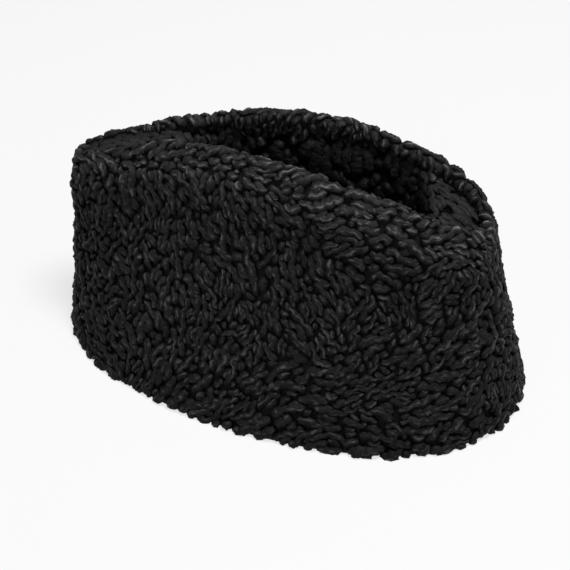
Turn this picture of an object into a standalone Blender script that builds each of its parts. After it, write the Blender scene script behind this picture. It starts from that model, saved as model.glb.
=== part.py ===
"""A karakul cap of curly lambskin. Two side panels are seamed at the front and the back, lean in to a rolled
ridge and run close together along its back half. A boat-shaped crown piece is folded down between the ridges.

Lengths are in metres. X runs from the back seam to the front seam and Z is up. The cap stands on its lower rim."""

import math

import bmesh
import bpy

# Lower rim: a long oval, outside the pelt
RIM_LENGTH = 0.236
RIM_WIDTH = 0.142
RIM_SQUARENESS = {"front": 2.2, "back": 2.1}

# Top ridge: a gable line that falls to both ends
RIDGE_SETBACK = {"front": 0.020, "back": 0.0}
RIDGE_END_HEIGHT = {"front": 0.1015, "back": 0.086}
RIDGE_PEAK_HEIGHT = 0.1248
RIDGE_PEAK_X = 0.005

# The ridges in plan: side by side at the back, and apart from the hollow's back tip to the blunt nose
CLOSED_HALF_WIDTH = 0.0095
OPENING_START_X = -0.066
OPENING_SWELL = 0.016
OPENING_TIP = 1.15
OPENING_NOSE = 0.8

# Pelt: leather, padding and curls together
PELT = 0.006
RIDGE_ROLL = 0.0027
CROWN_PELT = 0.003
SEAM_GAP = 0.0003

# Crown fold: a narrow strip at the back, then a deep crease that stops at a steep lip behind the flat nose
CROWN_DROP = 0.004
CROWN_DEPTH = 0.045
CROWN_RUNOUT = 0.042
CROWN_CREASE = 1.35
NOSE_LIP_X = 0.070
NOSE_LIP_LENGTH = 0.018
NOSE_LIP_SKEW = 0.45
CROWN_START_X = -0.1165
CROWN_NOSE_ANGLE = math.radians(7)

# Mesh fineness
PANEL_STATIONS = 48
PANEL_ROWS = 10
PANEL_OVERRUN = math.radians(9)
FOOT_OVERRUN = 0.05
CROWN_STATIONS = 60
CROWN_COLUMNS = 16
ROLL_SEGMENTS = 3
PLAN_STEP = 0.001
BLOCK_SIZE = 0.4

PELT_BLACK = (0.012, 0.012, 0.013, 1.0)
CROWN_BLACK = (0.008, 0.008, 0.009, 1.0)


def end_of(x):
    return "front" if x > 0 else "back"


def signed_power(value, power):
    return math.copysign(abs(value) ** power, value)


def smooth_step(value):
    value = min(max(value, 0.0), 1.0)
    return value * value * (3 - 2 * value)


def ridge_end(end):
    """How far from the middle the top ridge ends, towards the front or the back."""
    return RIM_LENGTH / 2 - RIDGE_SETBACK[end]


def ridge_height(x):
    """The gable line, which is the same for both side panels."""
    end = "front" if x > RIDGE_PEAK_X else "back"
    side = 1 if end == "front" else -1
    share = (x - RIDGE_PEAK_X) / (side * ridge_end(end) - RIDGE_PEAK_X)
    return RIDGE_PEAK_HEIGHT - (RIDGE_PEAK_HEIGHT - RIDGE_END_HEIGHT[end]) * share**2


def opening_swell(x):
    """From 0 at the hollow's back tip to 1 at its widest, and steeply back to 0 at the nose."""
    share = (x - OPENING_START_X) / (ridge_end("front") - OPENING_START_X)
    share = min(max(share, 0.0), 1.0)
    widest = OPENING_TIP / (OPENING_TIP + OPENING_NOSE)
    most = widest**OPENING_TIP * (1 - widest) ** OPENING_NOSE
    return share**OPENING_TIP * (1 - share) ** OPENING_NOSE / most


def ridge_half_width(x):
    """The outside of a ridge, from the cap's middle plane, with a rounded end at the front and the back."""
    short = max(0.0, 1 - (ridge_end(end_of(x)) - abs(x)) / CLOSED_HALF_WIDTH)
    round_end = math.sqrt(max(0.0, 1 - short * short))
    return CLOSED_HALF_WIDTH * round_end + OPENING_SWELL * opening_swell(x)


def ridge_plan(angle):
    """The ridge's outside seen from above. The angle is 0 at the front and 180 degrees at the back."""
    x = ridge_end(end_of(math.cos(angle))) * math.cos(angle)
    return x, math.copysign(ridge_half_width(x), math.sin(angle))


def wall_point(angle, share):
    """A point outside the wall. The share is 0 at the lower rim and 1 at the ridge."""
    along, across = math.cos(angle), math.sin(angle)
    roundness = 2 / RIM_SQUARENESS[end_of(along)]
    foot_x = RIM_LENGTH / 2 * signed_power(along, roundness)
    foot_y = RIM_WIDTH / 2 * signed_power(across, roundness)
    ridge_x, ridge_y = ridge_plan(angle)
    return (
        foot_x + (ridge_x - foot_x) * share,
        foot_y + (ridge_y - foot_y) * share,
        ridge_height(ridge_x) * share,
    )


def crown_edge(angle):
    """The crown piece's edge seen from above, in the middle of the pelt that it is sewn to."""
    x, y = ridge_plan(angle)
    ahead, behind = ridge_plan(angle + PLAN_STEP), ridge_plan(angle - PLAN_STEP)
    run_x, run_y = ahead[0] - behind[0], ahead[1] - behind[1]
    inset = PELT / 2 / math.hypot(run_x, run_y)
    return x - run_y * inset, y + run_x * inset


def crown_depth(x, y):
    runout = smooth_step((x - OPENING_START_X) / CROWN_RUNOUT)
    lip = smooth_step((NOSE_LIP_X - NOSE_LIP_SKEW * y - x) / NOSE_LIP_LENGTH)
    return CROWN_DEPTH * runout * lip


def crown_point(angle, across):
    """A point on top of the folded crown piece. Across runs from -1 to 1, from one ridge to the other."""
    x, half_width = crown_edge(angle)
    y = across * half_width
    fold = 1 - abs(across) ** CROWN_CREASE
    return x, y, ridge_height(ridge_plan(angle)[0]) - CROWN_DROP - crown_depth(x, y) * fold


def pelt_material(name, colour, roughness):
    material = bpy.data.materials.new(name)
    material.use_nodes = True
    shader = material.node_tree.nodes["Principled BSDF"]
    shader.inputs["Base Color"].default_value = colour
    shader.inputs["Roughness"].default_value = roughness
    shader.inputs["Metallic"].default_value = 0.0
    return material


def sheet_object(name, collection, columns, rows, place):
    """An open sheet: a grid whose points are put in their places by place(across, up), both from 0 to 1.

    It is made of triangles, so that a wall and the room that is cut for it have the same facets."""
    sheet = bmesh.new()
    bmesh.ops.create_grid(sheet, x_segments=columns, y_segments=rows, size=0.5)
    for vert in sheet.verts:
        vert.co = place(vert.co.x + 0.5, vert.co.y + 0.5)
    bmesh.ops.triangulate(sheet, faces=sheet.faces)
    mesh = bpy.data.meshes.new(name)
    sheet.to_mesh(mesh)
    sheet.free()
    mesh.shade_smooth()
    obj = bpy.data.objects.new(name, mesh)
    collection.objects.link(obj)
    return obj


def add_thickness(obj, thickness):
    solidify = obj.modifiers.new("Pelt", "SOLIDIFY")
    solidify.thickness = thickness
    solidify.offset = -1
    solidify.use_quality_normals = True


def add_boolean(obj, operation, other):
    boolean = obj.modifiers.new(operation.title(), "BOOLEAN")
    boolean.operation = operation
    boolean.solver = "EXACT"
    boolean.object = other


def hide_helper(obj):
    obj.hide_render = True
    obj.display_type = "WIRE"


def wall_sheet(name, collection, side):
    """One side's outer face, from past the front seam to past the back seam. The side is -1 on the right, at -Y."""
    first = math.pi if side < 0 else 0.0

    def place(across, up):
        angle = first - PANEL_OVERRUN + across * (math.pi + 2 * PANEL_OVERRUN)
        return wall_point(angle, up * (1 + FOOT_OVERRUN) - FOOT_OVERRUN)

    return sheet_object(name, collection, PANEL_STATIONS, PANEL_ROWS, place)


def half_space(name, collection, side):
    """A block that holds one side of the cap: above the floor, and up to half the seam gap from the middle plane."""
    bpy.ops.mesh.primitive_cube_add(size=BLOCK_SIZE)
    block = bpy.context.object
    block.name = name
    block.location = (0, side * (BLOCK_SIZE + SEAM_GAP) / 2, BLOCK_SIZE / 2)
    for old in block.users_collection:
        old.objects.unlink(block)
    collection.objects.link(block)
    hide_helper(block)
    return block


def make_side_panel(name, side, material, parts, cutters):
    panel = wall_sheet(name, parts, side)
    add_thickness(panel, PELT)
    roll = panel.modifiers.new("Rolled rim", "BEVEL")
    roll.width = RIDGE_ROLL
    roll.segments = ROLL_SEGMENTS
    roll.limit_method = "ANGLE"
    roll.angle_limit = math.radians(70)
    add_boolean(panel, "INTERSECT", half_space(name + "_half_space", cutters, side))
    panel.data.materials.append(material)
    return panel


def make_crown_fold(name, material, parts, cutters):
    """The crown piece, trimmed by each wall's room, which is the wall made thicker by the gap between pieces."""
    start = math.acos(CROWN_START_X / ridge_end("back"))

    def place(along, across):
        return crown_point(start + along * (CROWN_NOSE_ANGLE - start), 2 * across - 1)

    crown = sheet_object(name, parts, CROWN_STATIONS, CROWN_COLUMNS, place)
    add_thickness(crown, CROWN_PELT)
    for side in (-1, 1):
        room = wall_sheet(f"{name}_room_{side}", cutters, side)
        add_thickness(room, PELT + SEAM_GAP)
        hide_helper(room)
        add_boolean(crown, "DIFFERENCE", room)
    crown.data.materials.append(material)
    return crown


def new_collection(name):
    collection = bpy.data.collections.new(name)
    bpy.context.scene.collection.children.link(collection)
    return collection


def main():
    for obj in list(bpy.data.objects):
        bpy.data.objects.remove(obj)
    parts = new_collection("karakul_cap")
    cutters = new_collection("cutters")
    side_pelt = pelt_material("side_pelt", PELT_BLACK, 0.55)
    crown_pelt = pelt_material("crown_pelt", CROWN_BLACK, 0.6)
    make_side_panel("right_side_panel", -1, side_pelt, parts, cutters)
    make_side_panel("left_side_panel", 1, side_pelt, parts, cutters)
    make_crown_fold("crown_fold", crown_pelt, parts, cutters)


main()
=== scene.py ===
"""A karakul cap in black lambskin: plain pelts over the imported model, and a field of tight curls on them.

Lengths are in metres. X runs to the front seam, Y to the wearer's left and Z up. The photograph shows the
wearer's right side."""

import math
from collections import namedtuple

import bmesh
import bpy
import numpy as np
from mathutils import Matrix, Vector
from mathutils.kdtree import KDTree


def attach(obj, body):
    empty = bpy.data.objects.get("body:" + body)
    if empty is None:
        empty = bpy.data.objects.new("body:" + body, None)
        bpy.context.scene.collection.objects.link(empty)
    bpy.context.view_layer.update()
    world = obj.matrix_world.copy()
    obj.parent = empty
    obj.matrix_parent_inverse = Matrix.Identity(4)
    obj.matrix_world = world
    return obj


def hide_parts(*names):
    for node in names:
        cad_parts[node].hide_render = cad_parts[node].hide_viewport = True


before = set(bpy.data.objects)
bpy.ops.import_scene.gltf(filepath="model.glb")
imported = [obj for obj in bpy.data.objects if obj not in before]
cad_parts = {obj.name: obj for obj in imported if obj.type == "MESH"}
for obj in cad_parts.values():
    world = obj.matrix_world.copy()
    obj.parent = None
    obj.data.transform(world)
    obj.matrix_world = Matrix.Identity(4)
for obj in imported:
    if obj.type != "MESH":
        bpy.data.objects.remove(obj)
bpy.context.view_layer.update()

# The cap's shape, as in the part's source
RIM_LENGTH = 0.236
RIM_WIDTH = 0.142
FRONT_SQUARENESS = 2.2
BACK_SQUARENESS = 2.1
FRONT_RIDGE_X = RIM_LENGTH / 2 - 0.020
BACK_RIDGE_X = RIM_LENGTH / 2
FRONT_RIDGE_HEIGHT = 0.1015
BACK_RIDGE_HEIGHT = 0.086
RIDGE_PEAK_HEIGHT = 0.1248
RIDGE_PEAK_X = 0.005
CLOSED_HALF_WIDTH = 0.0095
OPENING_START_X = -0.066
OPENING_SWELL = 0.016
OPENING_TIP = 1.15
OPENING_NOSE = 0.8
PELT = 0.006
CROWN_PELT = 0.003
SEAM_GAP = 0.0003
CROWN_DROP = 0.004
CROWN_DEPTH = 0.045
CROWN_RUNOUT = 0.042
CROWN_CREASE = 1.35
NOSE_LIP_X = 0.070
NOSE_LIP_LENGTH = 0.018
NOSE_LIP_SKEW = 0.45
CROWN_START_X = -0.1165
CROWN_NOSE_ANGLE = math.radians(7)

# The pelts under the curls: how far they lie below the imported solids' faces, and how fine they are
PELT_INSET = 0.0019
CROWN_INSET = 0.0014
WALL_STATIONS = 150
WALL_ROWS = 30
ROLL_ROWS = 8
INNER_TOP_SHARE = 0.985
PELT_SEAM_ANGLE = 1e-4
CROWN_STATIONS = 90
CROWN_COLUMNS = 40

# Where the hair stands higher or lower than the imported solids
ROLL_RISE = 0.0010
UPPER_BULGE = 0.0018
UPPER_BULGE_TOP = 0.012
UPPER_BULGE_FOOT = 0.042
UPPER_BULGE_RUNOUT = 0.030
FOOT_FLARE = 0.0006
FOOT_FLARE_HEIGHT = 0.030
HEEL_FLARE = 0.0022
HEEL_X = -0.088
HEEL_REACH = 0.018
BACK_FILL = 0.0022
BACK_FILL_X = -0.030
BACK_FILL_RUNOUT = 0.020
ROLL_LIFT_REACH = 0.020

# How much higher each side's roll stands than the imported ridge: x, the right side's and the left side's
ROLL_CHART = (
    (-0.110, 0.0010, 0.0010),
    (-0.085, -0.0025, 0.0010),
    (-0.065, -0.0025, 0.0030),
    (-0.050, -0.0010, 0.0022),
    (-0.035, -0.0002, 0.0020),
    (-0.015, -0.0010, 0.0016),
    (0.005, 0.0000, 0.0018),
    (0.020, -0.0010, 0.0020),
    (0.045, 0.0004, 0.0012),
    (0.060, 0.0006, 0.0022),
    (0.075, 0.0000, 0.0046),
    (0.086, 0.0005, 0.0038),
    (0.095, 0.0000, -0.0012),
)

# The photograph's camera
VIEW_TURN = math.radians(23.15)
VIEW_TILT = math.radians(38.57)
VIEW_DISTANCE = 0.9
FOCAL_PIXELS = 1823.9
PICTURE_SIZE = 570
AIM_RIGHT = -0.00437
AIM_UP = 0.0385

# The lie of the curls on the side that the photograph shows: pixels across and down, and the lean in
# degrees, where 0 is level, 45 rises to the right and 90 is upright
LIE_CHART = (
    (76, 180, 90), (78, 250, 92), (82, 320, 95), (100, 170, 100), (112, 215, 100), (105, 280, 95),
    (130, 150, 8), (175, 142, 5), (215, 146, 165), (245, 160, 158),
    (140, 190, 100), (150, 240, 92), (135, 300, 105), (120, 350, 120), (170, 210, 95), (180, 290, 90),
    (208, 200, 95), (215, 245, 127), (205, 270, 90), (243, 200, 97), (262, 215, 136), (290, 225, 140),
    (270, 245, 80), (240, 290, 100), (240, 330, 60), (200, 330, 85),
    (290, 175, 170), (320, 180, 12), (345, 172, 170), (330, 190, 8), (370, 195, 160), (300, 210, 150),
    (395, 215, 150), (425, 230, 140), (350, 215, 20), (380, 245, 3), (410, 243, 3), (440, 240, 170),
    (298, 300, 115), (312, 325, 112), (322, 345, 95), (285, 335, 118), (330, 300, 138), (345, 295, 80),
    (375, 280, 147), (395, 265, 162), (360, 310, 75), (330, 355, 175), (365, 345, 70),
    (395, 300, 120), (420, 290, 60), (435, 330, 50), (450, 305, 55), (435, 372, 28), (400, 355, 20),
    (350, 385, 10), (380, 415, 10), (420, 400, 15), (450, 420, 20), (480, 400, 60), (470, 360, 40),
    (300, 400, 15), (270, 380, 20), (260, 420, 25), (310, 435, 5), (240, 400, 40), (225, 365, 55),
    (200, 385, 30), (180, 395, 45), (165, 375, 60), (150, 360, 80), (205, 350, 50), (350, 440, 0),
    (495, 260, 95), (500, 320, 95), (508, 380, 85), (480, 300, 100), (470, 250, 130), (460, 200, 150),
)
LIE_REACH = 16.0
LIE_BATCHES = 40

# Slow random changes over the hair: how much, over what distance, and of how many waves
LEAN_BROAD = (math.radians(12), 0.030, 9)
LEAN_FINE = (math.radians(30), 0.011, 9)
LOOSE_TURN = (math.radians(30), 0.020, 9)
UPHILL_TURN = (math.radians(22), 0.018, 9)
SIZE_BROAD = (0.18, 0.030, 8)
SIZE_FINE = (0.10, 0.012, 8)
TONE_PATCHES = (0.13, 0.013, 9)
WAVE_SPREAD = (0.7, 1.5)

# Where the hair leaves the chart: loose over the ridges, uphill on steep inner faces
RIDGE_BAND = 0.010
RIDGE_BAND_RUNOUT = 0.006
INNER_STEEPNESS = 0.95
STEEPNESS_RUNOUT = 0.3
TURNED_IN = 0.5
TURNED_IN_RUNOUT = 0.4

# The narrow slot in the crown, before the nose, with painted shade along it, and the hair that lies across
# it
SLOT_X = 0.0645
SLOT_SKEW = 0.42
SLOT_WIDTH = 0.0035
SLOT_SHADE = 0.80
SLOT_LIE_SHIFT = 0.003
SLOT_LIE_SPREAD = 1.6

# Painted light and shade in the hair's colour, and how large the hair is: painted light over the ridges and
# at the front, painted shade towards the foot, on the far side's inner face and deep in the crown's fold,
# where the hair is also larger
WALL_TONE = 0.50
UPPER_PAINTED_LIGHT = 1.10
UPPER_PAINTED_LIGHT_REACH = 0.026
FOOT_PAINTED_SHADE = 0.80
FOOT_PAINTED_SHADE_HEIGHT = 0.035
FRONT_PAINTED_LIGHT = 1.1
FRONT_PAINTED_LIGHT_X = 0.095
FAR_PAINTED_SHADE = 0.69
DEEP_PAINTED_SHADE = 0.10
DEEP_PAINTED_SHADE_TOP = 0.001
DEEP_PAINTED_SHADE_REACH = 0.022
TURNED_IN_PAINTED_SHADE = 0.5
CROWN_SCALE = 1.45
FOLD_TOP = 0.006
FOLD_REACH = 0.012

# The bed of the curls: dense points on the pelts' faces. The crest's row is counted from the inner face
CURL_INSET = 0.0008
SAMPLE_STEP = 0.0007
EVEN_SHARE = 0.3
PLAN_SAMPLES = 4000
BED_SEAM_ANGLE = 1e-3
BED_ROLL_ROWS = 10
BED_CREST_ROW = -6
BED_CLEAR = 0.0012
SQUEEZED_BED = BED_CLEAR * 1.02
LOWEST_BED = 0.0012
INNER_STRIP = 0.012
INNER_ROWS = 14
CAP_MIDDLE = np.array([0.0, 0.0, 0.05])
CREST_TO_AXIS = np.array([0.0, 0.0, 0.003])
SEAM_X = 0.09
SEAM_HALF_WIDTH = 0.005
SEAM_RUNOUT = 0.003
CROWN_BED_STATIONS = 320
CROWN_BED_COLUMNS = 141
CROWN_BED_MARGIN = PELT * 0.55
COVER_SETBACK = 0.003
COVER_MARGIN = 0.002
COVER_DEPTH = 0.0005
COVER_LOWEST = 0.03

# The curls' middle lines. A pass gives the room of a seed and of a line, in pitches, and the shortest and
# longest curl
CURL_PITCH = 0.0044
CURL_STEP = 0.0009
ROW_PASS = (0.90, 0.46, 0.007, 0.030)
FILLING_PASSES = ((0.68, 0.42, 0.0045, 0.014), (0.54, 0.34, 0.0030, 0.008))
ROW_SEEDS = 400
FILLING_SEEDS = 50000
QUEUE_TAIL = 30
NEXT_ROW = 1.02
NEXT_ROW_EVERY = 3
SEED_REACH = SAMPLE_STEP * 2
STEP_REACH = SAMPLE_STEP * 2.5
CROSSING_DROP = 0.012
HEADING_KEPT = 0.45
WANDER = 0.12
WANDER_RATE = 0.55
LEAST_SHARE = 0.8
CROWN_LEAST_SHARE = 1.5

# The curls' shape. A pair is the range of a random draw for each curl, and PHASE is that of a wave's start
WIDEST_ROOM = 0.0054
NARROWEST_HALF = 0.0008
BESIDE_SHARE = 0.55
SHIFT_ROUNDS = 4
HALF_ROUNDS = 3
LINE_ROUNDS = 2
SHORT_LINE = 4
CURL_SIDES = 8
OUTER_CROWDING = 0.48
PHASE = 6.3
CRIMP = 0.00042
CRIMP_RATE = (0.6, 1.3)
WAVE_SWELL = 0.09
WAVE_LENGTH = 0.0014
BEAD_SWELL = 0.10
BEAD_LENGTH = (0.00032, 0.00050)
TIP_START = 0.0005
TIP_LENGTH = (0.9, 2.2)
TIP_FULLNESS = 0.8
CURL_WIDTH = 1.32
TIP_WIDTH = 0.36
CURL_HEIGHT = 0.95
TIP_HEIGHT = 0.2
HIGHEST_HALF = 0.0023
FOLD_RELIEF = 0.68
STAND = (0.74, 1.18)
CURL_LIFT = 0.0002
TIP_SINK = 0.0010
END_SINK = 0.0012
END_REACH = 0.35
OVERHANG = 0.22
BOXINESS = 1.15
LOCK_GROOVE = 0.10
LOCK_TURN = (0.0011, 0.0024)
LOCK_COUNTS = (3, 6)
ROUGHNESS = 0.06
MOST_ROUGH = 2
# Painted shade in a curl's colour: how light it stays in the grooves between its locks, towards its tips and
# at its end points
GROOVE_PAINTED_SHADE = 0.45
TIP_PAINTED_SHADE = 0.25
END_PAINTED_SHADE = 0.1
LOWEST_HAIR = 0.0002

# The colours of the hair, each a curl's body with painted shade, its crest with painted light and its locks'
# painted glints, and of the nap. The crown's hair has less painted light and glint, and the crown's nap is
# darker, as painted shade in the fold
BLACK = (0.0004, 0.0004, 0.0004, 1)
SIDE_HAIR = ((0.0094, 0.0094, 0.0095, 1), (0.0343, 0.0340, 0.0336, 1), (0.091, 0.090, 0.088, 1))
SHADED_CROWN_HAIR = ((0.0125, 0.0125, 0.0127, 1), (0.0160, 0.0158, 0.0156, 1), (0.018, 0.018, 0.018, 1))
SIDE_NAP = (0.005, 0.005, 0.005, 1)
SHADED_CROWN_NAP = (0.0008, 0.0008, 0.0008, 1)
SIDE_NAP_GLOSS = 0.1
CROWN_NAP_GLOSS = 0.02
NAP_SCALE = 900.0
WORN_NAP = 2.0
DARKEST_CURL = 0.55
DARKER_HAIRS = 0.40
HAIR_GLOSS = 0.06
HAIR_ROUGHNESS = (0.55, 0.30)
HAIR_RELIEF = 0.0009
NAP_RELIEF = 0.0004

# The strands' pattern: lengths along a curl, the sway in turns, cells round a curl, and where patterns start
HAIR_WIDTH = 0.00045
HAIR_SLANT = 0.004
LOCK_LENGTH = 0.0036
SWAY_LENGTH = 0.0030
HAIR_SWAY = 0.22
HAIRS_ROUND = 5.0
LOCKS_ROUND = 11.0
HAIR_START = 37.0
LOCK_START = 53.0
SWAY_START = 71.0
HAIR_SHARE = 0.4
LOCK_SHARE = 0.6
# Spans of the masks: the lighter hairs, the crest's painted light, and the painted glints on the locks and
# crest
LIGHT_HAIRS = (0.40, 0.60)
CREST = (0.66, 1.0)
GLINT_LOCKS = (0.50, 0.66)
GLINT_CREST = (0.82, 1.0)

# The setting. A light has a name, a place, a size and a power in watts
FLOOR_RADIUS = 4.0
FLOOR_COLOUR = (0.12, 0.12, 0.12, 1)
FLOOR_GLOW = 0.73
SKY_STRENGTH = 0.30
LIGHT_AIM = Vector((0, 0, 0.06))
LIGHTS = (
    ("front_light", (-0.25, -1.30, 0.95), 0.7, 5),
    ("top_light", (0.25, 0.00, 1.30), 0.5, 28),
)
SENSOR_WIDTH = 36.0
CLIP_RANGE = (0.05, 20)

# The three pieces that hair grows on
CROWN, RIGHT, LEFT = 0, 1, 2

SEED = 11
rng = np.random.default_rng(SEED)


# Shape functions, on arrays of points

def smooth_step(value):
    value = np.clip(value, 0.0, 1.0)
    return value * value * (3 - 2 * value)


def signed_power(value, power):
    return np.copysign(np.abs(value) ** power, value)


def unit(vectors):
    return vectors / np.maximum(np.linalg.norm(vectors, axis=-1, keepdims=True), 1e-12)


def ridge_reach(x):
    return np.where(x > 0, FRONT_RIDGE_X, BACK_RIDGE_X)


def ridge_height(x):
    front = x > RIDGE_PEAK_X
    reach = np.where(front, FRONT_RIDGE_X - RIDGE_PEAK_X, BACK_RIDGE_X + RIDGE_PEAK_X)
    fall = RIDGE_PEAK_HEIGHT - np.where(front, FRONT_RIDGE_HEIGHT, BACK_RIDGE_HEIGHT)
    return RIDGE_PEAK_HEIGHT - fall * ((x - RIDGE_PEAK_X) / reach) ** 2


def opening_swell(x):
    share = np.clip((x - OPENING_START_X) / (FRONT_RIDGE_X - OPENING_START_X), 0.0, 1.0)
    widest = OPENING_TIP / (OPENING_TIP + OPENING_NOSE)
    most = widest**OPENING_TIP * (1 - widest) ** OPENING_NOSE
    return share**OPENING_TIP * (1 - share) ** OPENING_NOSE / most


def ridge_half_width(x):
    short = np.clip(1 - (ridge_reach(x) - np.abs(x)) / CLOSED_HALF_WIDTH, 0.0, 1.0)
    return CLOSED_HALF_WIDTH * np.sqrt(1 - short * short) + OPENING_SWELL * opening_swell(x)


def ridge_plan(angle):
    """The ridge's outside seen from above. The angle is 0 at the front and 180 degrees at the back."""
    x = ridge_reach(np.cos(angle)) * np.cos(angle)
    return x, np.copysign(ridge_half_width(x), np.sin(angle))


def wall_point(angle, share):
    """Points outside the wall. The share is 0 at the lower rim and 1 at the ridge."""
    along, across = np.cos(angle), np.sin(angle)
    roundness = 2 / np.where(along > 0, FRONT_SQUARENESS, BACK_SQUARENESS)
    foot_x = RIM_LENGTH / 2 * signed_power(along, roundness)
    foot_y = RIM_WIDTH / 2 * signed_power(across, roundness)
    ridge_x, ridge_y = ridge_plan(angle)
    return np.stack([
        foot_x + (ridge_x - foot_x) * share,
        foot_y + (ridge_y - foot_y) * share,
        ridge_height(ridge_x) * share,
    ], axis=-1)


def wall_axes(angle, share):
    """The wall's outward and upward directions at its points."""
    step = 1e-4
    around = wall_point(angle + step, share) - wall_point(angle - step, share)
    upward = unit(wall_point(angle, share + step) - wall_point(angle, share - step))
    return unit(np.cross(around, upward)), upward


def crown_edge(angle):
    """The crown piece's edge seen from above, in the middle of the pelt that it is sewn to."""
    x, y = ridge_plan(angle)
    step = 1e-3
    ahead, behind = ridge_plan(angle + step), ridge_plan(angle - step)
    run_x, run_y = ahead[0] - behind[0], ahead[1] - behind[1]
    inset = PELT / 2 / np.hypot(run_x, run_y)
    return x - run_y * inset, y + run_x * inset


def crown_depth(x, y):
    runout = smooth_step((x - OPENING_START_X) / CROWN_RUNOUT)
    lip = smooth_step((NOSE_LIP_X - NOSE_LIP_SKEW * y - x) / NOSE_LIP_LENGTH)
    return CROWN_DEPTH * runout * lip


def back_fill(x):
    """How far the hair fills the groove between the closed ridges, behind the opening."""
    return BACK_FILL * smooth_step((BACK_FILL_X - x) / BACK_FILL_RUNOUT)


def crown_point(angle, across):
    """Points on top of the folded crown piece. Across runs from -1 to 1, from ridge to ridge."""
    x, half_width = crown_edge(angle)
    y = across * half_width
    fold = 1 - np.abs(across) ** CROWN_CREASE
    height = ridge_height(ridge_plan(angle)[0]) - CROWN_DROP - crown_depth(x, y) * fold
    return np.stack(np.broadcast_arrays(x, y, height), axis=-1)


def roll_lift(x, side):
    """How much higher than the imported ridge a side's roll stands, from the photograph."""
    chart = np.array(ROLL_CHART)
    return np.interp(x, chart[:, 0], chart[:, 1 if side < 0 else 2])


def panel_section(angles, side, inset, clear, wall_rows, roll_rows):
    """A side panel's section at each angle: up the outer face and over the rolled rim. Rows come first.

    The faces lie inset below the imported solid's, and stay clear of the middle plane."""
    radius = (PELT - inset) / 2
    rows = []
    for share in np.linspace(0, 1, wall_rows)[:-1]:
        level = np.full_like(angles, share * (1 - radius / RIDGE_PEAK_HEIGHT))
        out, _ = wall_axes(angles, level)
        drop = RIDGE_PEAK_HEIGHT * (1 - share)
        full = UPPER_BULGE * smooth_step(drop / UPPER_BULGE_TOP)
        full = full * smooth_step((UPPER_BULGE_FOOT - drop) / UPPER_BULGE_RUNOUT)
        rows.append(wall_point(angles, level) - out * (inset - full * out[..., 1:2] ** 2))
    ridge = np.ones_like(angles)
    out, up = wall_axes(angles, ridge)
    centre = wall_point(angles, ridge) - out * (inset + radius) - up * (inset / 2 + radius - ROLL_RISE)
    for turn in np.linspace(0, math.pi, roll_rows):
        rows.append(centre + out * radius * math.cos(turn) + up * radius * math.sin(turn))
    section = np.array(rows)
    section[..., 1] = side * np.maximum(side * section[..., 1], clear)
    near_roll = smooth_step(1 - (ridge_height(section[..., 0]) - section[..., 2]) / ROLL_LIFT_REACH)
    section[..., 2] += roll_lift(section[..., 0], side) * near_roll
    section[..., 2] = np.maximum(section[..., 2], 0.0)
    return section


def grid_normals(grid, outward):
    """The normals of a grid of points, turned to the side that outward points to."""
    normals = unit(np.cross(np.gradient(grid, axis=1), np.gradient(grid, axis=0)))
    return normals * np.sign(np.sum(normals * outward, axis=-1, keepdims=True))


# The photograph's camera

def camera_axes():
    back = np.array([
        math.sin(VIEW_TURN) * math.cos(VIEW_TILT),
        -math.cos(VIEW_TURN) * math.cos(VIEW_TILT),
        math.sin(VIEW_TILT),
    ])
    right = np.array([math.cos(VIEW_TURN), math.sin(VIEW_TURN), 0.0])
    up = np.cross(back, right)
    place = right * AIM_RIGHT + np.array([0.0, 0.0, AIM_UP]) + back * VIEW_DISTANCE
    return place, right, up, back


def picture_place(points):
    """Where points of the cap come in the photograph, in pixels from its upper left corner."""
    place, right, up, back = camera_axes()
    sight = points - place
    depth = -(sight @ back)
    across = PICTURE_SIZE / 2 + FOCAL_PIXELS * (sight @ right) / depth
    down = PICTURE_SIZE / 2 - FOCAL_PIXELS * (sight @ up) / depth
    return np.stack([across, down], axis=-1)


# The hair's lie, lightness and size

def charted_lean(pixels):
    """The chart's lean at each pixel, as an angle, smoothed between its rows."""
    chart = np.array(LIE_CHART, dtype=float)
    twice = 2 * np.radians(chart[:, 2])
    gap = np.sum((pixels[:, None, :] - chart[None, :, :2]) ** 2, axis=-1)
    nearest = gap.min(axis=1, keepdims=True)
    weight = np.exp(-(gap - nearest) / (2 * LIE_REACH**2))
    return 0.5 * np.arctan2(weight @ np.sin(twice), weight @ np.cos(twice))


def drift(points, amount, wavelength, waves):
    """A smooth random value at each point, mostly between the amount and its negative."""
    total = np.zeros(len(points))
    for _ in range(waves):
        direction = unit(rng.normal(size=3))
        length = wavelength * rng.uniform(*WAVE_SPREAD)
        total += np.sin(points @ direction * (2 * math.pi / length) + rng.uniform(0, 2 * math.pi))
    return amount * (total / math.sqrt(waves))


def along_surface(direction, normals):
    """One direction, laid down on the surface at each point."""
    direction = np.broadcast_to(direction, normals.shape)
    return unit(np.cross(normals, np.cross(direction, normals)))


def turned(lie, normals, angle):
    """A lie of the hair, turned on the surface by an angle at each point."""
    return lie * np.cos(angle)[:, None] + np.cross(normals, lie) * np.sin(angle)[:, None]


def blended(lie, other, share):
    """A lie of the hair drawn towards another by a share at each point, whichever end of it is nearer."""
    sign = np.sign(np.sum(other * lie, axis=-1))
    return unit(lie * (1 - share)[:, None] + other * (sign * share)[:, None])


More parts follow.
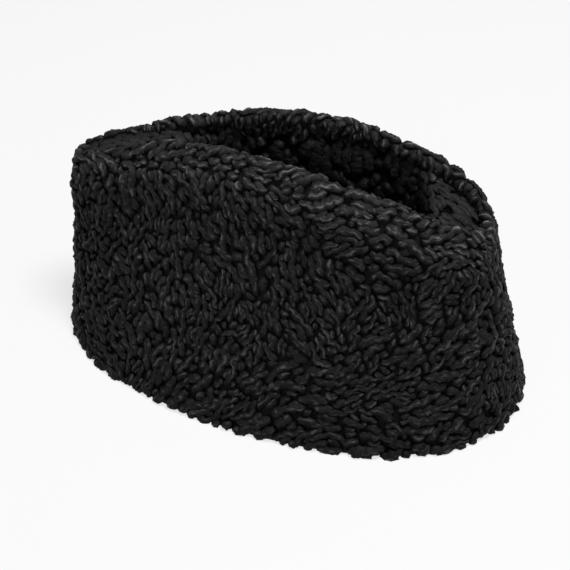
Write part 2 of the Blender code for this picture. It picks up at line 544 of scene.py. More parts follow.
def lie_from_picture(points, normals, labels):
    """Directions on the surface that look as the chart says. The far side's mirror the near side's."""
    shown, facing = points.copy(), normals.copy()
    far = (labels == LEFT) & (points[:, 1] > 0)
    shown[far, 1] *= -1
    facing[far, 1] *= -1
    batches = np.array_split(picture_place(shown), LIE_BATCHES)
    lean = np.concatenate([charted_lean(batch) for batch in batches])
    lean += drift(points, *LEAN_BROAD) + drift(points, *LEAN_FINE)
    place, right, up, _ = camera_axes()
    drawn = np.cos(lean)[..., None] * right + np.sin(lean)[..., None] * up
    lie = unit(np.cross(facing, np.cross(drawn, unit(shown - place))))
    lie[far, 1] *= -1
    return lie


def turned_in(normals, labels):
    """How far the side panels' normals turn to the inside of the cap."""
    return normals[:, 1] * np.where(labels == LEFT, -1, 1)


def lie_of(points, normals, labels):
    """The direction in which the hair rolls at each point of the bed."""
    crown = labels == CROWN
    lie = lie_from_picture(points, normals, labels)
    loose = turned(along_surface((1.0, 0.0, 0.0), normals), normals, drift(points, *LOOSE_TURN))
    top = smooth_step((points[:, 2] - ridge_height(points[:, 0]) + RIDGE_BAND) / RIDGE_BAND_RUNOUT)
    lie = blended(lie, loose, np.where(crown, 1.0, top))
    uphill = turned(along_surface((0.0, 0.0, 1.0), normals), normals, drift(points, *UPHILL_TURN))
    steep = smooth_step((INNER_STEEPNESS - normals[:, 2]) / STEEPNESS_RUNOUT)
    inner = smooth_step((turned_in(normals, labels) - TURNED_IN) / TURNED_IN_RUNOUT)
    lie = blended(lie, uphill, steep * np.where(crown, 1.0, inner))
    across_slot = along_surface((-SLOT_SKEW, 1.0, 0.0), normals)
    return blended(lie, across_slot, slot_share(points, SLOT_LIE_SHIFT, SLOT_LIE_SPREAD) * crown)


def slot_share(points, shift, spread):
    """How near the points lie to the slot's line, from 0 to 1."""
    off = points[:, 0] + SLOT_SKEW * points[:, 1] - SLOT_X - shift
    return np.exp(-((off / (SLOT_WIDTH * spread)) ** 2))


def painted_shade_and_tone(points, normals, labels, ridge_drop):
    """Painted light and shade in the hair's colour at each point of the bed, with random patches of tone:
    painted light over the ridges and at the front, painted shade towards the foot, on the far side's inner
    face and deep in the fold.
    """
    near_ridge = smooth_step(1 - ridge_drop / UPPER_PAINTED_LIGHT_REACH)
    outside = WALL_TONE + (UPPER_PAINTED_LIGHT - WALL_TONE) * near_ridge
    outside = outside * (FOOT_PAINTED_SHADE + (1 - FOOT_PAINTED_SHADE) * smooth_step(points[:, 2] / FOOT_PAINTED_SHADE_HEIGHT))
    outside = outside * np.where(points[:, 0] > FRONT_PAINTED_LIGHT_X, FRONT_PAINTED_LIGHT, 1.0)
    shallow = 1 - smooth_step((ridge_drop - DEEP_PAINTED_SHADE_TOP) / DEEP_PAINTED_SHADE_REACH)
    inside = DEEP_PAINTED_SHADE + (1 - DEEP_PAINTED_SHADE) * shallow
    inside = inside * np.where(labels == LEFT, FAR_PAINTED_SHADE, 1.0)
    # Painted shade along the crown's slot
    inside = inside * (1 - SLOT_SHADE * slot_share(points, 0.0, 1.0) * (labels == CROWN))
    inner = smooth_step(turned_in(normals, labels) / TURNED_IN_PAINTED_SHADE)
    inner = np.where(labels == CROWN, 1.0, inner)
    # The outer faces' painted light and the inner faces' painted shade blend by how far a face turns inward,
    # times random patches of tone
    return (outside * (1 - inner) + inside * inner) * (1 + drift(points, *TONE_PATCHES))


def fold_share(labels, ridge_drop):
    """How deep in the crown's fold a place is: 0 near the ridges' height, 1 well below it."""
    return smooth_step((ridge_drop - FOLD_TOP) / FOLD_REACH) * (labels == CROWN)


# The bed of the curls, with the hair's lie, its size, and the painted light and shade in its colour at each
# point

Bed = namedtuple("Bed", "points normals labels ridge_drop lie scale tone")


def even_angles(first, last):
    """Angles between two angles, spaced by the sample step along the wall."""
    fine = np.linspace(first, last, PLAN_SAMPLES)
    points = wall_point(fine, np.full_like(fine, EVEN_SHARE))
    run = np.concatenate([[0], np.cumsum(np.linalg.norm(np.diff(points, axis=0), axis=1))])
    return np.interp(np.linspace(0, run[-1], int(run[-1] / SAMPLE_STEP) + 2), run, fine)


def flared(section, side):
    """A side panel's section, spread outwards near the lower rim and a little more at the heel."""
    low = smooth_step(1 - section[..., 2] / FOOT_FLARE_HEIGHT)
    plan = section * np.array([1.0, 1.0, 0.0])
    outward = unit(plan * np.array([1 / RIM_LENGTH**2, 1 / RIM_WIDTH**2, 0.0]))
    section = section + outward * (FOOT_FLARE * low)[..., None]
    heel = np.exp(-(((section[..., 0] - HEEL_X) / HEEL_REACH) ** 2)) * low
    section[..., 1] += side * HEEL_FLARE * heel
    return section


def side_bed(side, label):
    """The bed of one side: its outer face, its roll and a strip of its inner face below the roll."""
    first = 0.0 if side > 0 else math.pi
    angles = even_angles(first + BED_SEAM_ANGLE, first + math.pi - BED_SEAM_ANGLE)
    rows = int(RIDGE_PEAK_HEIGHT / SAMPLE_STEP)
    section = panel_section(angles, side, CURL_INSET, BED_CLEAR, rows, BED_ROLL_ROWS)
    drops = np.linspace(0, INNER_STRIP, INNER_ROWS)[1:]
    below = np.array([section[-1] - np.array([0, 0, drop]) for drop in drops])
    section = flared(section, side)
    grid = np.concatenate([section, below])
    on_wall = (np.arange(len(grid)) < rows - 1)[:, None, None]
    roll_axis = section[BED_CREST_ROW] - CREST_TO_AXIS
    normals = grid_normals(grid, np.where(on_wall, grid - CAP_MIDDLE, grid - roll_axis))
    points, normals = grid.reshape(-1, 3), normals.reshape(-1, 3)
    seam = smooth_step((SEAM_HALF_WIDTH - np.abs(points[:, 1])) / SEAM_RUNOUT)
    seam = seam * (np.abs(points[:, 0]) > SEAM_X)
    normals = unit(normals * np.stack([np.ones_like(seam), 1 - seam, np.ones_like(seam)], axis=-1))
    keep = points[:, 2] > LOWEST_BED
    keep &= np.abs(points[:, 1]) > SQUEEZED_BED
    keep &= ~hidden_by_crown(points)
    return points[keep], normals[keep], np.full(keep.sum(), label)


def hidden_by_crown(points):
    """Which points of a side's bed lie under the crown piece."""
    x, y, z = points.T
    angle = np.arccos(np.clip(x / ridge_reach(x), -1, 1))
    _, half_width = crown_edge(angle)
    share = np.clip(np.abs(y) / np.maximum(half_width, 1e-4), 0, 1)
    height = ridge_height(x) - CROWN_DROP - crown_depth(x, y) * (1 - share**CROWN_CREASE)
    inside = (x > CROWN_START_X) & (x < FRONT_RIDGE_X - COVER_SETBACK)
    inside &= half_width - np.abs(y) > -COVER_MARGIN
    inside &= np.abs(y) < ridge_half_width(x) - COVER_MARGIN
    return inside & (z < height - COVER_DEPTH) & (z > COVER_LOWEST)


def crown_grid(stations, columns):
    """A grid of points on top of the crown piece, rows first, and its normals."""
    angles = np.linspace(math.acos(CROWN_START_X / BACK_RIDGE_X), CROWN_NOSE_ANGLE, stations)
    across = np.linspace(-1, 1, columns)
    grid = crown_point(angles[None, :], across[:, None] * np.ones_like(angles)[None, :])
    return grid, grid_normals(grid, np.array([0.0, 0.0, 1.0]))


def crown_bed():
    grid, normals = crown_grid(CROWN_BED_STATIONS, CROWN_BED_COLUMNS)
    grid = grid - normals * CURL_INSET / 2
    grid[..., 2] += back_fill(grid[..., 0])
    points, normals = grid.reshape(-1, 3), normals.reshape(-1, 3)
    keep = ridge_half_width(points[:, 0]) - np.abs(points[:, 1]) > CROWN_BED_MARGIN
    return points[keep], normals[keep], np.full(keep.sum(), CROWN)


def make_bed():
    parts = (side_bed(-1, RIGHT), side_bed(1, LEFT), crown_bed())
    points, normals, labels = [np.concatenate(arrays) for arrays in zip(*parts)]
    ridge_drop = ridge_height(points[:, 0]) - points[:, 2]
    lie = lie_of(points, normals, labels)
    scale = 1.0 + drift(points, *SIZE_BROAD) + drift(points, *SIZE_FINE)
    scale = scale * (1 + (CROWN_SCALE - 1) * fold_share(labels, ridge_drop))
    tone = painted_shade_and_tone(points, normals, labels, ridge_drop)
    return Bed(points, normals, labels, ridge_drop, lie, scale, tone)


# Growing the curls' middle lines

class Paddock:
    """Keeps the middle lines of the curls apart."""

    def __init__(self):
        self.cells = {}

    def key(self, point):
        return int(point[0] // CURL_PITCH), int(point[1] // CURL_PITCH), int(point[2] // CURL_PITCH)

    def add(self, point):
        self.cells.setdefault(self.key(point), []).append((point[0], point[1], point[2]))

    def is_free(self, point, room):
        i, j, k = self.key(point)
        limit = room * room
        x, y, z = point
        cells = self.cells
        for a in (i - 1, i, i + 1):
            for b in (j - 1, j, j + 1):
                for c in (k - 1, k, k + 1):
                    for px, py, pz in cells.get((a, b, c), ()):
                        if (px - x) ** 2 + (py - y) ** 2 + (pz - z) ** 2 < limit:
                            return False
        return True


def follow(bed, tree, paddock, start, sign, steps, room, wander):
    """Walks from a bed point along the lie of the hair, while there is room."""
    place = Vector(bed.points[start])
    heading = Vector(bed.lie[start]) * sign
    label = bed.labels[start]
    walked = []
    for count in range(steps):
        ahead = place + heading * CURL_STEP
        _, index, gap = tree.find(ahead)
        if gap > STEP_REACH:
            break
        to_other_side = bed.labels[index] != label and CROWN not in (label, bed.labels[index])
        if to_other_side and bed.ridge_drop[index] < CROSSING_DROP:
            break
        normal = Vector(bed.normals[index])
        ahead = ahead - normal * normal.dot(ahead - Vector(bed.points[index]))
        if not paddock.is_free(ahead, room * bed.scale[index]):
            break
        pull = Vector(bed.lie[index])
        if pull.dot(heading) < 0:
            pull = -pull
        heading = heading * HEADING_KEPT + pull * (1 - HEADING_KEPT)
        heading += normal.cross(heading) * wander * math.sin(count * WANDER_RATE + start)
        heading = (heading - normal * normal.dot(heading)).normalized()
        walked.append((tuple(ahead), index))
        place = ahead
    return walked


def grow_curls(bed):
    """The curls' middle lines, each a list of places with their bed points."""
    tree = KDTree(len(bed.points))
    for index, point in enumerate(bed.points):
        tree.insert(point, index)
    tree.balance()
    paddock = Paddock()
    curls = []

    def try_seed(place, seed_room, line_room, shortest, longest):
        _, index, gap = tree.find(place)
        if gap > SEED_REACH:
            return None
        here = tuple(bed.points[index])
        if not paddock.is_free(here, CURL_PITCH * seed_room * bed.scale[index]):
            return None
        reach = int(rng.uniform(shortest, longest) / CURL_STEP / 2) + 1
        wander = rng.uniform(-WANDER, WANDER)
        room = CURL_PITCH * line_room
        ahead = follow(bed, tree, paddock, index, 1, reach, room, wander)
        behind = follow(bed, tree, paddock, index, -1, 2 * reach - len(ahead), room, wander)
        walked = behind[::-1] + [(here, index)] + ahead
        least = shortest * (CROWN_LEAST_SHARE if bed.labels[index] == CROWN else LEAST_SHARE)
        if len(walked) * CURL_STEP < least:
            return None
        for place_on, _ in walked:
            paddock.add(place_on)
        curls.append(walked)
        return walked

    def grow_rows(place):
        queue = [place]
        while queue:
            place = queue.pop(int(rng.integers(max(0, len(queue) - QUEUE_TAIL), len(queue))))
            walked = try_seed(place, *ROW_PASS)
            if walked is None:
                continue
            for place_on, index in walked[1::NEXT_ROW_EVERY]:
                side = np.cross(bed.normals[index], bed.lie[index])
                side = side * CURL_PITCH * bed.scale[index] * NEXT_ROW
                queue.append(tuple(np.array(place_on) + side))
                queue.append(tuple(np.array(place_on) - side))

    for start in rng.permutation(len(bed.points))[:ROW_SEEDS]:
        grow_rows(tuple(bed.points[start]))
    for filling_pass in FILLING_PASSES:
        for start in rng.permutation(len(bed.points))[:FILLING_SEEDS]:
            try_seed(bed.points[start], *filling_pass)
    return curls


# Shaping the curls

def smooth_run(values, rounds):
    for _ in range(rounds):
        padded = np.pad(values, 1, mode="edge")
        values = 0.25 * padded[:-2] + 0.5 * padded[1:-1] + 0.25 * padded[2:]
    return values


def curl_rooms(curls, bed):
    """For every place of every curl: how far it has to move sideways to lie midway between its neighbours,
    and half the room that it then has."""
    tree = KDTree(sum(len(curl) for curl in curls))
    owner = []
    for number, curl in enumerate(curls):
        for place, _ in curl:
            tree.insert(place, len(owner))
            owner.append(number)
    tree.balance()
    rooms = []
    for number, curl in enumerate(curls):
        line = np.array([place for place, _ in curl])
        facing = bed.normals[[index for _, index in curl]]
        sideways = unit(np.cross(np.gradient(line, axis=0), facing))
        widest = WIDEST_ROOM * bed.scale[curl[len(curl) // 2][1]]
        shifts, halves = [], []
        for place, side in zip(line, sideways):
            left = right = widest
            for other, index, gap in tree.find_range(place, widest):
                if owner[index] == number:
                    continue
                off = ((other[0] - place[0]) * side[0] + (other[1] - place[1]) * side[1]
                       + (other[2] - place[2]) * side[2])
                if off > BESIDE_SHARE * gap:
                    left = min(left, gap)
                elif off < -BESIDE_SHARE * gap:
                    right = min(right, gap)
            shifts.append((left - right) / 4)
            halves.append(max((left + right) / 4, NARROWEST_HALF))
        rooms.append((smooth_run(np.array(shifts), SHIFT_ROUNDS), smooth_run(np.array(halves), HALF_ROUNDS)))
    return rooms


def curl_line(curl, shift, bed, dice):
    """A curl's middle line, midway between its neighbours and slightly crimped, and the way it faces."""
    line = np.array([place for place, _ in curl])
    facing = unit(bed.normals[[index for _, index in curl]])
    line = line + unit(np.cross(np.gradient(line, axis=0), facing)) * shift[:, None]
    for _ in range(LINE_ROUNDS):
        padded = np.pad(facing, ((1, 1), (0, 0)), mode="edge")
        facing = unit(padded[:-2] + 2 * padded[1:-1] + padded[2:])
        if len(line) > SHORT_LINE:
            line[1:-1] = 0.25 * line[:-2] + 0.5 * line[1:-1] + 0.25 * line[2:]
    crimp = np.arange(len(line)) * dice.uniform(*CRIMP_RATE) + dice.uniform(0, PHASE)
    sideways = np.cross(np.gradient(line, axis=0) / CURL_STEP, facing)
    return line + sideways * (CRIMP * np.sin(crimp))[:, None], facing


def curl_turns():
    """The angles of a curl's sides, closer together on its outer half. The last one closes the round."""
    turns = np.arange(CURL_SIDES + 1) * 2 * math.pi / CURL_SIDES
    return turns + OUTER_CROWDING * np.sin(turns)


def curl_rings(curl, room, bed, dice):
    """A curl's first end, its rings and its last end, with the run along it and its painted shade: darker in
    the grooves between its locks and towards its tips.
    """
    shift, half = room
    line, facing = curl_line(curl, shift, bed, dice)
    tangent = unit(np.gradient(line, axis=0))
    facing = unit(facing - tangent * np.sum(facing * tangent, axis=1, keepdims=True))
    side = np.cross(tangent, facing)
    run = np.concatenate([[0], np.cumsum(np.linalg.norm(np.diff(line, axis=0), axis=1))])
    bead = dice.uniform(*BEAD_LENGTH)
    swell = 1 + WAVE_SWELL * np.sin(run / WAVE_LENGTH + dice.uniform(0, PHASE))
    swell = swell + BEAD_SWELL * np.sin(run / bead + dice.uniform(0, PHASE))
    to_tip = np.minimum(run + TIP_START, run[-1] + TIP_START - run)
    tip = np.clip(to_tip / (half * dice.uniform(*TIP_LENGTH)), 0, 1)
    taper = np.sin(tip * math.pi / 2) ** TIP_FULLNESS
    width = half * CURL_WIDTH * swell * (TIP_WIDTH + (1 - TIP_WIDTH) * taper)
    middle = curl[len(curl) // 2][1]
    flat = 1 - (1 - FOLD_RELIEF) * fold_share(bed.labels[middle], bed.ridge_drop[middle])
    height = np.minimum(half, HIGHEST_HALF) * CURL_HEIGHT * flat * swell
    height = height * (TIP_HEIGHT + (1 - TIP_HEIGHT) * taper)
    stand = dice.uniform(*STAND)
    centre = line + facing * (CURL_LIFT + (taper - 1) * TIP_SINK)[:, None]
    roll = dice.choice([-1, 1]) * OVERHANG
    twist = run / dice.uniform(*LOCK_TURN) * dice.choice([-1, 1]) + dice.uniform(0, PHASE)
    turns = curl_turns()[:-1]
    ridges = np.sin(dice.integers(*LOCK_COUNTS) * turns[None, :] + twist[:, None])
    rings = []
    for k, turn in enumerate(turns):
        lobe = 1 + LOCK_GROOVE * ridges[:, k]
        out = -math.cos(turn)
        over = math.copysign(abs(math.sin(turn)) ** BOXINESS, math.sin(turn)) + roll * max(out, 0)
        across = side * (over * width * lobe)[:, None]
        rings.append(centre + across + facing * (out * height * stand * lobe)[:, None])
    rings = np.stack(rings, axis=1)
    rough = 1 + ROUGHNESS * dice.normal(size=rings.shape[:2]).clip(-MOST_ROUGH, MOST_ROUGH)
    rings = centre[:, None] + (rings - centre[:, None]) * rough[..., None]
    first = line[0] - tangent[0] * half[0] * END_REACH + facing[0] * (CURL_LIFT - END_SINK)
    last = line[-1] + tangent[-1] * half[-1] * END_REACH + facing[-1] * (CURL_LIFT - END_SINK)
    # Painted shade: darker in the grooves between the locks and towards the tips, lighter on the locks'
    # ridges
    light = GROOVE_PAINTED_SHADE + (1 - GROOVE_PAINTED_SHADE) * (0.5 + 0.5 * ridges)
    return first, rings, last, run, light * (TIP_PAINTED_SHADE + (1 - TIP_PAINTED_SHADE) * taper)[:, None]


def curl_faces(first, along):
    """A curl's faces, and their corners' places on the map. Its points are numbered on from the first."""
    faces, maps = [], []
    round_share = curl_turns() / (2 * math.pi)
    base = first + 1
    end = base + len(along) * CURL_SIDES
    tail = end - CURL_SIDES
    for k in range(CURL_SIDES):
        after = (k + 1) % CURL_SIDES
        v0, v1 = round_share[k], round_share[k + 1]
        faces.append((first, base + after, base + k))
        maps.extend(((along[0], (v0 + v1) / 2), (along[0], v1), (along[0], v0)))
        for i in range(len(along) - 1):
            here, there = base + i * CURL_SIDES, base + (i + 1) * CURL_SIDES
            faces.append((here + k, here + after, there + after, there + k))
            maps.extend(((along[i], v0), (along[i], v1), (along[i + 1], v1), (along[i + 1], v0)))
        faces.append((tail + k, tail + after, end))
        maps.extend(((along[-1], v0), (along[-1], v1), (along[-1], (v0 + v1) / 2)))
    return faces, maps


def curl_piece(name, curls, rooms, bed, material, slot):
    """One joined mesh of curls, with a map along and round each, its tint, the bed's painted light and shade
    with random tone, and the painted shade of its grooves, tips and ends.
    """
    dice = np.random.default_rng(SEED + len(curls))
    verts, faces, maps, tints, shades_and_tones, locks = [], [], [], [], [], []
    count = 0
    for curl, room in zip(curls, rooms):
        first, rings, last, run, light = curl_rings(curl, room, bed, dice)
        size = len(run) * CURL_SIDES + 2
        tint = dice.uniform()
        along = dice.uniform(0, 1) + run
        own_faces, own_maps = curl_faces(count, along)
        faces.extend(own_faces)
        maps.extend(own_maps)
        verts.extend((first[None], rings.reshape(-1, 3), last[None]))
        tints.append(np.full(size, tint))
        tone = bed.tone[[index for _, index in curl]]
        shades_and_tones.extend((tone[:1], np.repeat(tone, CURL_SIDES), tone[-1:]))
        # The end points carry the darkest painted shade
        locks.extend(([END_PAINTED_SHADE], light.ravel(), [END_PAINTED_SHADE]))
        count += size
    points = np.concatenate(verts)
    points[:, 2] = np.maximum(points[:, 2], LOWEST_HAIR)
    mesh = bpy.data.meshes.new(name)
    mesh.from_pydata(points.tolist(), [], faces)
    layer = mesh.uv_layers.new(name="curl")
    layer.data.foreach_set("uv", np.array(maps, dtype=np.float32).ravel())
    for label, values in (("tint", tints), ("tone", shades_and_tones), ("groove_shade", locks)):
        values_layer = mesh.attributes.new(label, "FLOAT", "POINT")
        values_layer.data.foreach_set("value", np.concatenate(values).astype(np.float32))
    mesh.shade_smooth()
    dress(name, mesh, material, slot)


# Placing a piece, and the pelts' meshes

def dress(name, mesh, material, slot, *nodes):
    """Puts a piece on the cap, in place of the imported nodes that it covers."""
    mesh.materials.append(material)
    piece = bpy.data.objects.new(name, mesh)
    bpy.context.scene.collection.objects.link(piece)
    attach(piece, "root")
    if nodes:
        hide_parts(*nodes)


def closed_mesh(name, grid):
    """A closed mesh over a grid of points, whose last row lies on its first. Its open ends are filled."""
    rows, columns = grid.shape[:2]
    sheet = bmesh.new()
    bmesh.ops.create_grid(sheet, x_segments=columns - 1, y_segments=rows - 1, size=0.5)
    for vert in sheet.verts:
        column = round((vert.co.x + 0.5) * (columns - 1))
        row = round((vert.co.y + 0.5) * (rows - 1))
        vert.co = grid[row, column]
    bmesh.ops.remove_doubles(sheet, verts=sheet.verts, dist=1e-6)
    bmesh.ops.holes_fill(sheet, edges=[edge for edge in sheet.edges if edge.is_boundary], sides=0)
    bmesh.ops.triangulate(sheet, faces=[face for face in sheet.faces if len(face.verts) > 4])
    bmesh.ops.recalc_face_normals(sheet, faces=sheet.faces)
    mesh = bpy.data.meshes.new(name)
    sheet.to_mesh(mesh)
    sheet.free()
    mesh.shade_smooth()
    return mesh


def side_pelt(name, side, material, node):
    first = 0.0 if side > 0 else math.pi
    angles = np.linspace(first + PELT_SEAM_ANGLE, first + math.pi - PELT_SEAM_ANGLE, WALL_STATIONS)
    outer = panel_section(angles, side, PELT_INSET, SEAM_GAP / 2, WALL_ROWS, ROLL_ROWS)
    inner = []
    for share in np.linspace(INNER_TOP_SHARE, 0, WALL_ROWS):
        level = np.full_like(angles, share)
        out, _ = wall_axes(angles, level)
        inner.append(wall_point(angles, level) - out * PELT)
    inner = np.array(inner)
    inner[..., 1] = side * np.maximum(side * inner[..., 1], SEAM_GAP / 2)
    inner[-1, :, 2] = 0.0
    dress(name, closed_mesh(name, np.concatenate([outer, inner, outer[:1]])), material, "side_pelt", node)


def crown_pelt(name, material, node):
    grid, normals = crown_grid(CROWN_STATIONS, CROWN_COLUMNS)
    top = grid - normals * CROWN_INSET
    top[..., 2] += back_fill(top[..., 0])
    under = grid - normals * CROWN_PELT
    dress(name, closed_mesh(name, np.concatenate([top, under[::-1], top[:1]])), material, "crown_pelt", node)


# Materials

def new_material(name):
    material = bpy.data.materials.new(name)
    material.use_nodes = True
    return material, material.node_tree, material.node_tree.nodes["Principled BSDF"]


def math_node(tree, operation, *values):
    node = tree.nodes.new("ShaderNodeMath")
    node.operation = operation
    for socket, value in zip(node.inputs, values):
        if isinstance(value, (int, float)):
            socket.default_value = value
        else:
            tree.links.new(value, socket)
    return node.outputs[0]


def noise_node(tree, vector, scale, detail):
    node = tree.nodes.new("ShaderNodeTexNoise")
    node.inputs["Scale"].default_value = scale
    node.inputs["Detail"].default_value = detail
    tree.links.new(vector, node.inputs["Vector"])
    return node.outputs["Fac"]


def step_node(tree, value, span, kind):
    """Rises from 0 to 1 while the value crosses the span."""
    node = tree.nodes.new("ShaderNodeMapRange")
    node.interpolation_type = kind
    node.inputs["From Min"].default_value, node.inputs["From Max"].default_value = span
    tree.links.new(value, node.inputs["Value"])
    return node.outputs[0]


def own_value(tree, name):
    """A value that the curls' mesh carries."""
    node = tree.nodes.new("ShaderNodeAttribute")
    node.attribute_name = name
    return node.outputs["Fac"]


def mix_colours(tree, factor, first, second):
    node = tree.nodes.new("ShaderNodeMix")
    node.data_type = "RGBA"
    tree.links.new(factor, node.inputs[0])
    for socket, value in ((node.inputs[6], first), (node.inputs[7], second)):
        if isinstance(value, tuple):
            socket.default_value = value
        else:
            tree.links.new(value, socket)
    return node.outputs[2]


def bump_node(tree, shader, height, strength, distance):
    node = tree.nodes.new("ShaderNodeBump")
    node.inputs["Strength"].default_value = strength
    node.inputs["Distance"].default_value = distance
    tree.links.new(height, node.inputs["Height"])
    tree.links.new(node.outputs[0], shader.inputs["Normal"])


def scaled(colour, gain):
    return tuple(part * gain for part in colour[:3]) + (1.0,)


def hair_strands_group():
    """Fine hairs that run round a curl: their relief, and masks of the lighter hairs, of the painted light
    over the crest and of the painted glints.
    """
    group = bpy.data.node_groups.new("Hair strands", "ShaderNodeTree")
    for label, kind in (("Curl Map", "NodeSocketVector"), ("Hair Width", "NodeSocketFloat"),
                        ("Lock Length", "NodeSocketFloat"), ("Slant", "NodeSocketFloat"),
                        ("Sway", "NodeSocketFloat"), ("Tint", "NodeSocketFloat")):
        group.interface.new_socket(name=label, in_out="INPUT", socket_type=kind)
    for label in ("Height", "Light Hairs", "Crest", "Glint"):
        group.interface.new_socket(name=label, in_out="OUTPUT", socket_type="NodeSocketFloat")
    inside = group.nodes.new("NodeGroupInput").outputs
    outside = group.nodes.new("NodeGroupOutput").inputs
    split = group.nodes.new("ShaderNodeSeparateXYZ")
    group.links.new(inside["Curl Map"], split.inputs[0])
    along, turn = split.outputs["X"], split.outputs["Y"]

    def curl_noise(length_place, round_place, start, detail):
        joined = group.nodes.new("ShaderNodeCombineXYZ")
        group.links.new(length_place, joined.inputs["X"])
        if round_place is not None:
            group.links.new(round_place, joined.inputs["Y"])
        group.links.new(math_node(group, "MULTIPLY", inside["Tint"], start), joined.inputs["Z"])
        return noise_node(group, joined.outputs[0], scale=1.0, detail=detail)

    slanted = math_node(group, "ADD", along, math_node(group, "MULTIPLY", turn, inside["Slant"]))
    hairs = curl_noise(math_node(group, "DIVIDE", slanted, inside["Hair Width"]),
                       math_node(group, "MULTIPLY", turn, HAIRS_ROUND), HAIR_START, detail=2.0)
    locks = curl_noise(math_node(group, "DIVIDE", along, inside["Lock Length"]),
                       math_node(group, "MULTIPLY", turn, LOCKS_ROUND), LOCK_START, detail=1.0)
    sway = curl_noise(math_node(group, "DIVIDE", along, SWAY_LENGTH), None, SWAY_START, detail=1.0)
    relief = math_node(group, "ADD", math_node(group, "MULTIPLY", hairs, HAIR_SHARE),
                       math_node(group, "MULTIPLY", locks, LOCK_SHARE))
    group.links.new(relief, outside["Height"])
    group.links.new(step_node(group, relief, LIGHT_HAIRS, "LINEAR"), outside["Light Hairs"])
    aside = math_node(group, "MULTIPLY", math_node(group, "SUBTRACT", sway, 0.5), inside["Sway"])
    swayed = math_node(group, "MULTIPLY", math_node(group, "ADD", turn, aside), 2 * math.pi)
    rise = math_node(group, "MULTIPLY", math_node(group, "COSINE", swayed), -1.0)
    # The crest's mask: painted light over the curl's top, swaying from side to side along it
    group.links.new(step_node(group, rise, CREST, "SMOOTHSTEP"), outside["Crest"])
    # Painted glints: bright strokes on the crest where the locks' pattern is strong
    glint = math_node(group, "MULTIPLY", step_node(group, locks, GLINT_LOCKS, "SMOOTHSTEP"),
                      step_node(group, rise, GLINT_CREST, "SMOOTHSTEP"))
    group.links.new(glint, outside["Glint"])
    return group


def curl_material(name, strands, dark, light, painted_glint):
    """Lambskin curls, with painted shade at the roots and down the flanks, painted light over the crest, and
    a few painted glints on the locks.
    """
    material, tree, shader = new_material(name)
    uv = tree.nodes.new("ShaderNodeUVMap")
    uv.uv_map = "curl"
    tint, groove_shade = own_value(tree, "tint"), own_value(tree, "groove_shade")
    hairs = tree.nodes.new("ShaderNodeGroup")
    hairs.node_tree = strands
    hairs.inputs["Hair Width"].default_value = HAIR_WIDTH
    hairs.inputs["Lock Length"].default_value = LOCK_LENGTH
    hairs.inputs["Sway"].default_value = HAIR_SWAY
    hairs.inputs["Slant"].default_value = HAIR_SLANT
    tree.links.new(uv.outputs[0], hairs.inputs["Curl Map"])
    tree.links.new(tint, hairs.inputs["Tint"])
    tips = mix_colours(tree, tint, light, scaled(light, DARKEST_CURL))
    hair = mix_colours(tree, hairs.outputs["Light Hairs"], scaled(light, DARKER_HAIRS), tips)
    # Painted shade at the roots and flanks, painted light over the crest, weighted by the grooves' painted
    # shade
    body = mix_colours(tree, math_node(tree, "MULTIPLY", hairs.outputs["Crest"], groove_shade), dark, hair)
    # Painted glints, as a bright colour
    lit = mix_colours(tree, math_node(tree, "MULTIPLY", hairs.outputs["Glint"], groove_shade), body, painted_glint)
    # The bed's painted light and shade, with random tone, darken the colour towards black
    shaded_and_toned = mix_colours(tree, own_value(tree, "tone"), BLACK, lit)
    tree.links.new(shaded_and_toned, shader.inputs["Base Color"])
    dull = tree.nodes.new("ShaderNodeMapRange")
    dull.inputs["To Min"].default_value, dull.inputs["To Max"].default_value = HAIR_ROUGHNESS
    tree.links.new(hairs.outputs["Glint"], dull.inputs["Value"])
    tree.links.new(dull.outputs[0], shader.inputs["Roughness"])
    bump_node(tree, shader, hairs.outputs["Height"], strength=1.0, distance=HAIR_RELIEF)
    shader.inputs["Specular IOR Level"].default_value = HAIR_GLOSS
    return material


def nap_material(name, colour, gloss):
    """The pelt's plain side, with a short dull nap."""
    material, tree, shader = new_material(name)
    place = tree.nodes.new("ShaderNodeTexCoord")
    nap = noise_node(tree, place.outputs["Object"], scale=NAP_SCALE, detail=3.0)
    tree.links.new(mix_colours(tree, nap, colour, scaled(colour, WORN_NAP)), shader.inputs["Base Color"])
    bump_node(tree, shader, nap, strength=0.5, distance=NAP_RELIEF)
    shader.inputs["Roughness"].default_value = 0.9
    shader.inputs["Specular IOR Level"].default_value = gloss
    return material


# Setting: floor, lights and camera

def make_floor():
    sheet = bmesh.new()
    bmesh.ops.create_circle(sheet, cap_ends=True, segments=64, radius=FLOOR_RADIUS)
    mesh = bpy.data.meshes.new("floor")
    sheet.to_mesh(mesh)
    sheet.free()
    material, _, shader = new_material("pale_floor")
    shader.inputs["Base Color"].default_value = FLOOR_COLOUR
    shader.inputs["Roughness"].default_value = 0.9
    shader.inputs["Specular IOR Level"].default_value = 0.1
    shader.inputs["Emission Color"].default_value = (1, 1, 1, 1)
    shader.inputs["Emission Strength"].default_value = FLOOR_GLOW
    mesh.materials.append(material)
    floor = bpy.data.objects.new("floor", mesh)
    bpy.context.scene.collection.objects.link(floor)


def make_light(name, place, size, watts):
    data = bpy.data.lights.new(name, "AREA")
    data.shape = "DISK"
    data.size = size
    data.energy = watts
    light = bpy.data.objects.new(name, data)
    light.location = place
    light.rotation_euler = (LIGHT_AIM - Vector(place)).to_track_quat("-Z", "Y").to_euler()
    bpy.context.scene.collection.objects.link(light)


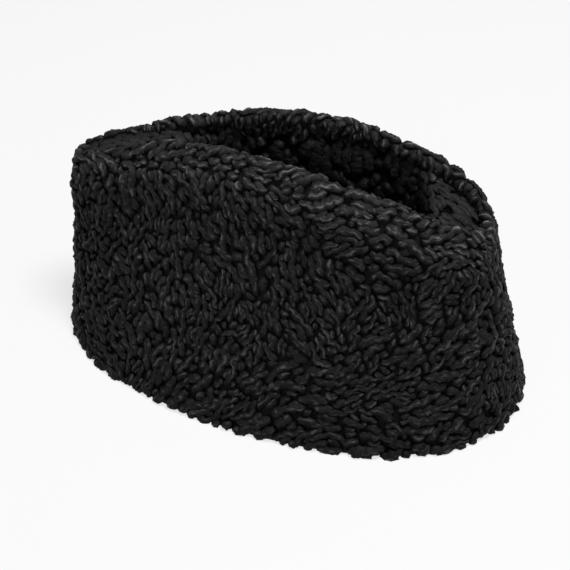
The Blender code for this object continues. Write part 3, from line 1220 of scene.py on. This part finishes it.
def make_camera():
    place, _, _, back = camera_axes()
    data = bpy.data.cameras.new("camera")
    data.sensor_width = SENSOR_WIDTH
    data.lens = FOCAL_PIXELS * SENSOR_WIDTH / PICTURE_SIZE
    data.clip_start, data.clip_end = CLIP_RANGE
    camera = bpy.data.objects.new("camera", data)
    camera.location = place
    camera.rotation_euler = Vector(-back).to_track_quat("-Z", "Y").to_euler()
    bpy.context.scene.collection.objects.link(camera)
    bpy.context.scene.camera = camera


def make_setting():
    make_floor()
    world = bpy.data.worlds.new("studio")
    world.use_nodes = True
    background = world.node_tree.nodes["Background"]
    background.inputs["Color"].default_value = (1, 1, 1, 1)
    background.inputs["Strength"].default_value = SKY_STRENGTH
    bpy.context.scene.world = world
    for light in LIGHTS:
        make_light(*light)
    make_camera()
    bpy.context.scene.view_settings.view_transform = "Standard"


# The cap

def make_pelts():
    nap = nap_material("pelt_nap", SIDE_NAP, SIDE_NAP_GLOSS)
    # The crown's nap is darker, as painted shade of the fold
    shaded_crown_nap = nap_material("shaded_crown_nap", SHADED_CROWN_NAP, CROWN_NAP_GLOSS)
    side_pelt("right_side_pelt", -1, nap, "right_side_panel")
    side_pelt("left_side_pelt", 1, nap, "left_side_panel")
    crown_pelt("folded_crown_pelt", shaded_crown_nap, "crown_fold")


def make_curls():
    strands = hair_strands_group()
    side_curl = curl_material("side_curl", strands, *SIDE_HAIR)
    # The crown's curls get a shaded copy of the hair, with less painted light on the crest and in the
    # glints, as painted shade of the fold
    shaded_crown_curl = curl_material("shaded_crown_curl", strands, *SHADED_CROWN_HAIR)
    bed = make_bed()
    curls = grow_curls(bed)
    rooms = curl_rooms(curls, bed)
    middles = np.array([curl[len(curl) // 2][1] for curl in curls])
    owners, forward = bed.labels[middles], bed.points[middles, 0] > 0
    for name, chosen, material, slot in (
        ("right_back_curls", (owners == RIGHT) & ~forward, side_curl, "side_pelt"),
        ("right_front_curls", (owners == RIGHT) & forward, side_curl, "side_pelt"),
        ("left_back_curls", (owners == LEFT) & ~forward, side_curl, "side_pelt"),
        ("left_front_curls", (owners == LEFT) & forward, side_curl, "side_pelt"),
        ("crown_curls", owners == CROWN, shaded_crown_curl, "crown_pelt"),
    ):
        chosen = np.flatnonzero(chosen)
        curl_piece(name, [curls[i] for i in chosen], [rooms[i] for i in chosen], bed, material, slot)


make_pelts()
make_curls()
make_setting()
